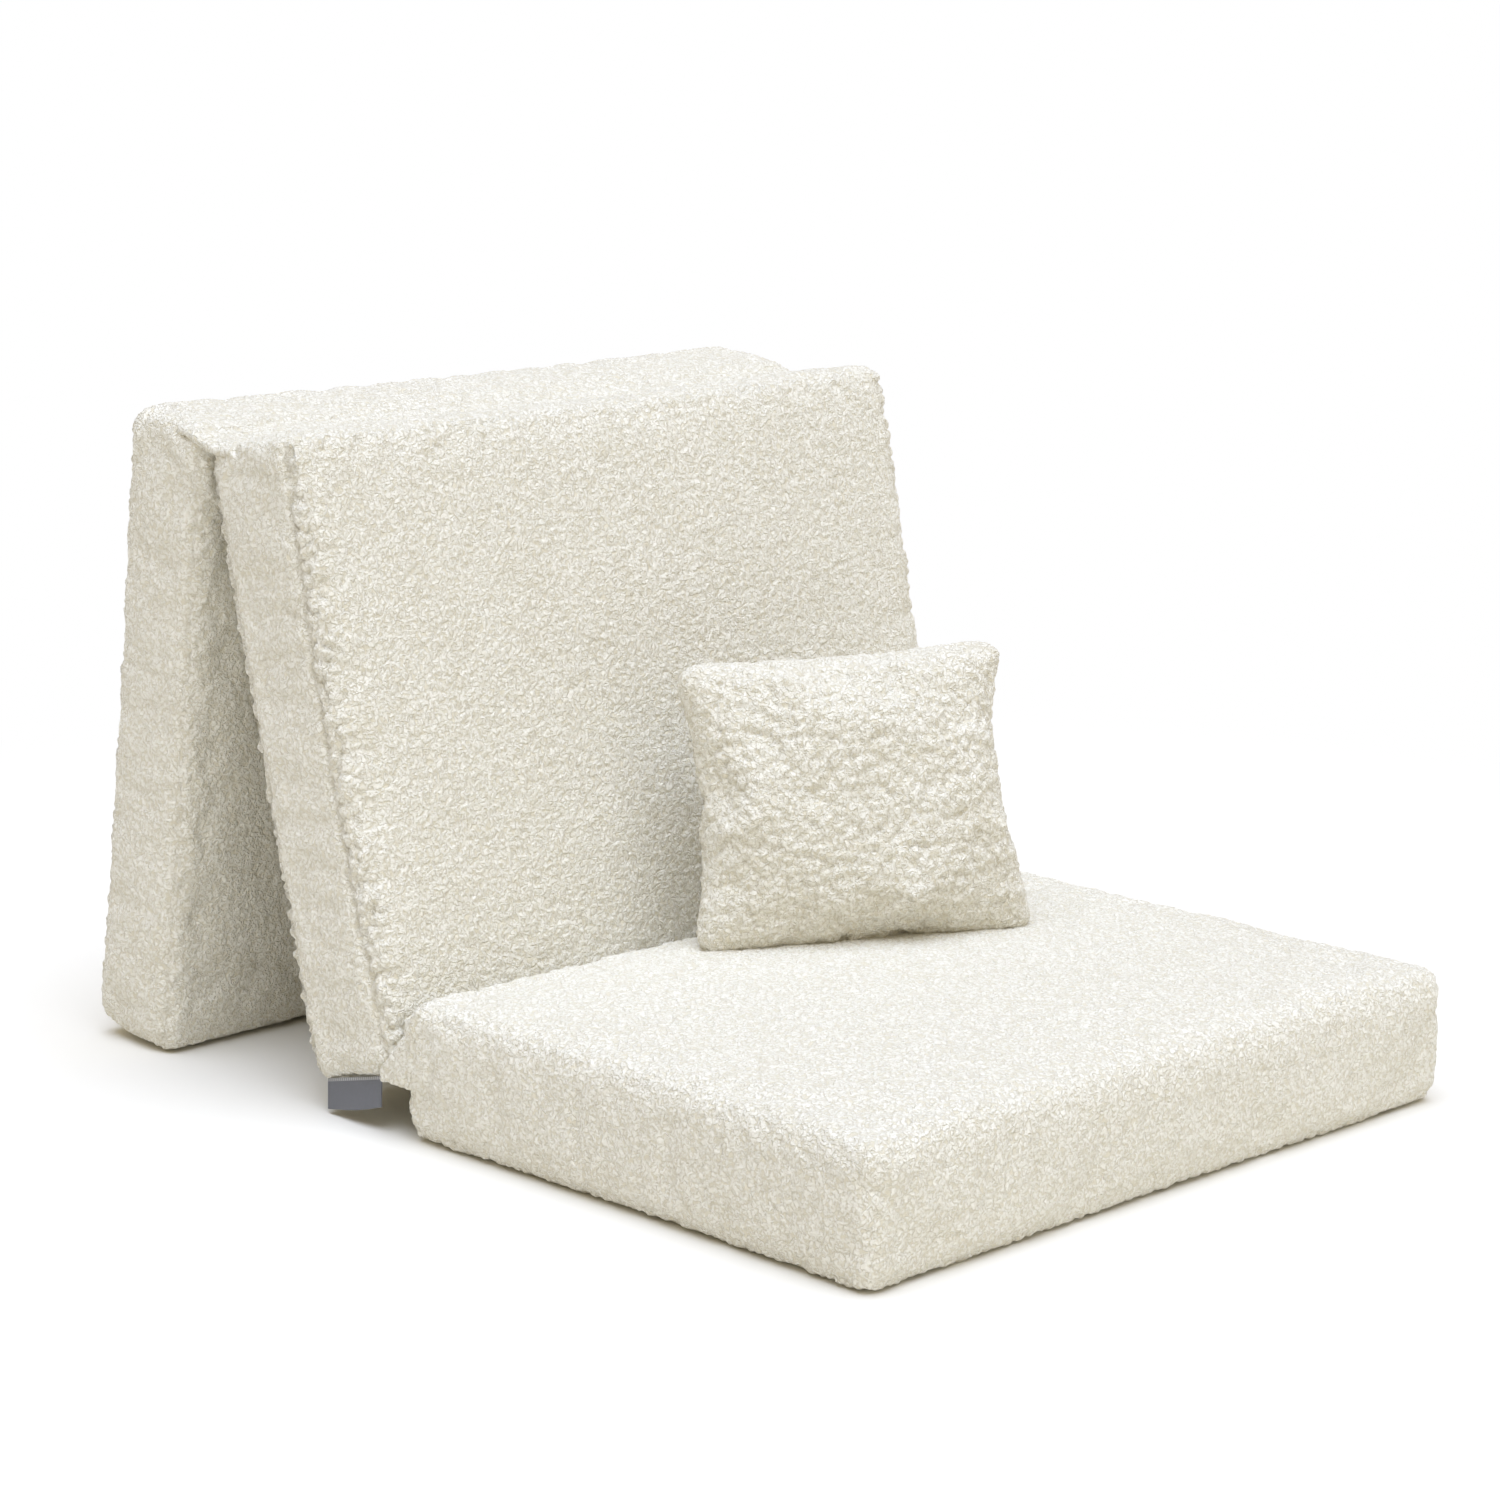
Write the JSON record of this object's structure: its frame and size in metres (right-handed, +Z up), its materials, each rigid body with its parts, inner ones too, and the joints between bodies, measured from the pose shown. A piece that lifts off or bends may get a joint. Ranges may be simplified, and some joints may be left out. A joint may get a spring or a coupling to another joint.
{
  "type": "kids flip open sofa",
  "caption": "Low foam sofa of hinged padded panels in curly pile covers: a seat, a leaning back and a rear support that open into a flat mat, with a loose pillow.",
  "frame": {"origin": "on the floor, under the middle of the bounding box", "axes": "+X along the hinge lines to the sitter's left, +Y from the seat's front edge to the rear panel, +Z up"},
  "size_m": [0.5974, 0.7946, 0.4761],
  "materials": {
    "pile_cover": "matte",
    "pile_band": "matte",
    "foam": "matte",
    "hinge_fabric": "matte",
    "zip_nylon": "satin",
    "zip_metal": "satin",
    "tag_ribbon": "matte",
    "fibre_filling": "matte"
  },
  "bodies": {
    "seat": {"seat_foam_core": "foam", "seat_top_cover": "pile_cover", "seat_under_cover": "pile_cover", "seat_side_band": "pile_band", "seat_zip": "zip_nylon", "seat_zip_slider": "zip_metal"},
    "seat_strip": {"seat_hinge_strip": "hinge_fabric"},
    "back": {"back_foam_core": "foam", "back_top_cover": "pile_cover", "back_under_cover": "pile_cover", "back_side_band": "pile_band", "back_zip": "zip_nylon", "back_zip_slider": "zip_metal", "side_tag": "tag_ribbon", "top_hinge_strip": "hinge_fabric"},
    "rear": {"rear_foam_core": "foam", "rear_top_cover": "pile_cover", "rear_under_cover": "pile_cover", "rear_side_band": "pile_band", "rear_zip": "zip_nylon", "rear_zip_slider": "zip_metal"},
    "pillow": {"pillow_filling": "fibre_filling", "pillow_front_cover": "pile_cover", "pillow_back_cover": "pile_band"}
  },
  "joints": [
    {"name": "seat_strip_swing", "type": "hinge", "parent": "seat", "child": "seat_strip", "pos_m": [0, 0.04228, 0.084], "axis": [1, 0, 0], "range_deg": [0, 71.13], "deforming": ["seat_hinge_strip"]},
    {"name": "back_turn", "type": "hinge", "parent": "seat_strip", "child": "back", "pos_m": [0, 0.05901, 0.03506], "axis": [1, 0, 0], "range_deg": [-147.03, 0]},
    {"name": "rear_fold", "type": "hinge", "parent": "back", "child": "rear", "pos_m": [0, 0.24896, 0.45968], "axis": [1, 0, 0], "range_deg": [-13, 159.2], "deforming": ["top_hinge_strip"]},
    {"name": "pillow_lift", "type": "slide", "parent": "seat", "child": "pillow", "axis": [0, 0, 1], "range_m": [0, 0.45]}
  ],
  "couplings": [
    {"joint": "seat_strip_swing", "follows": "back_turn", "ratio": -0.48377}
  ]
}
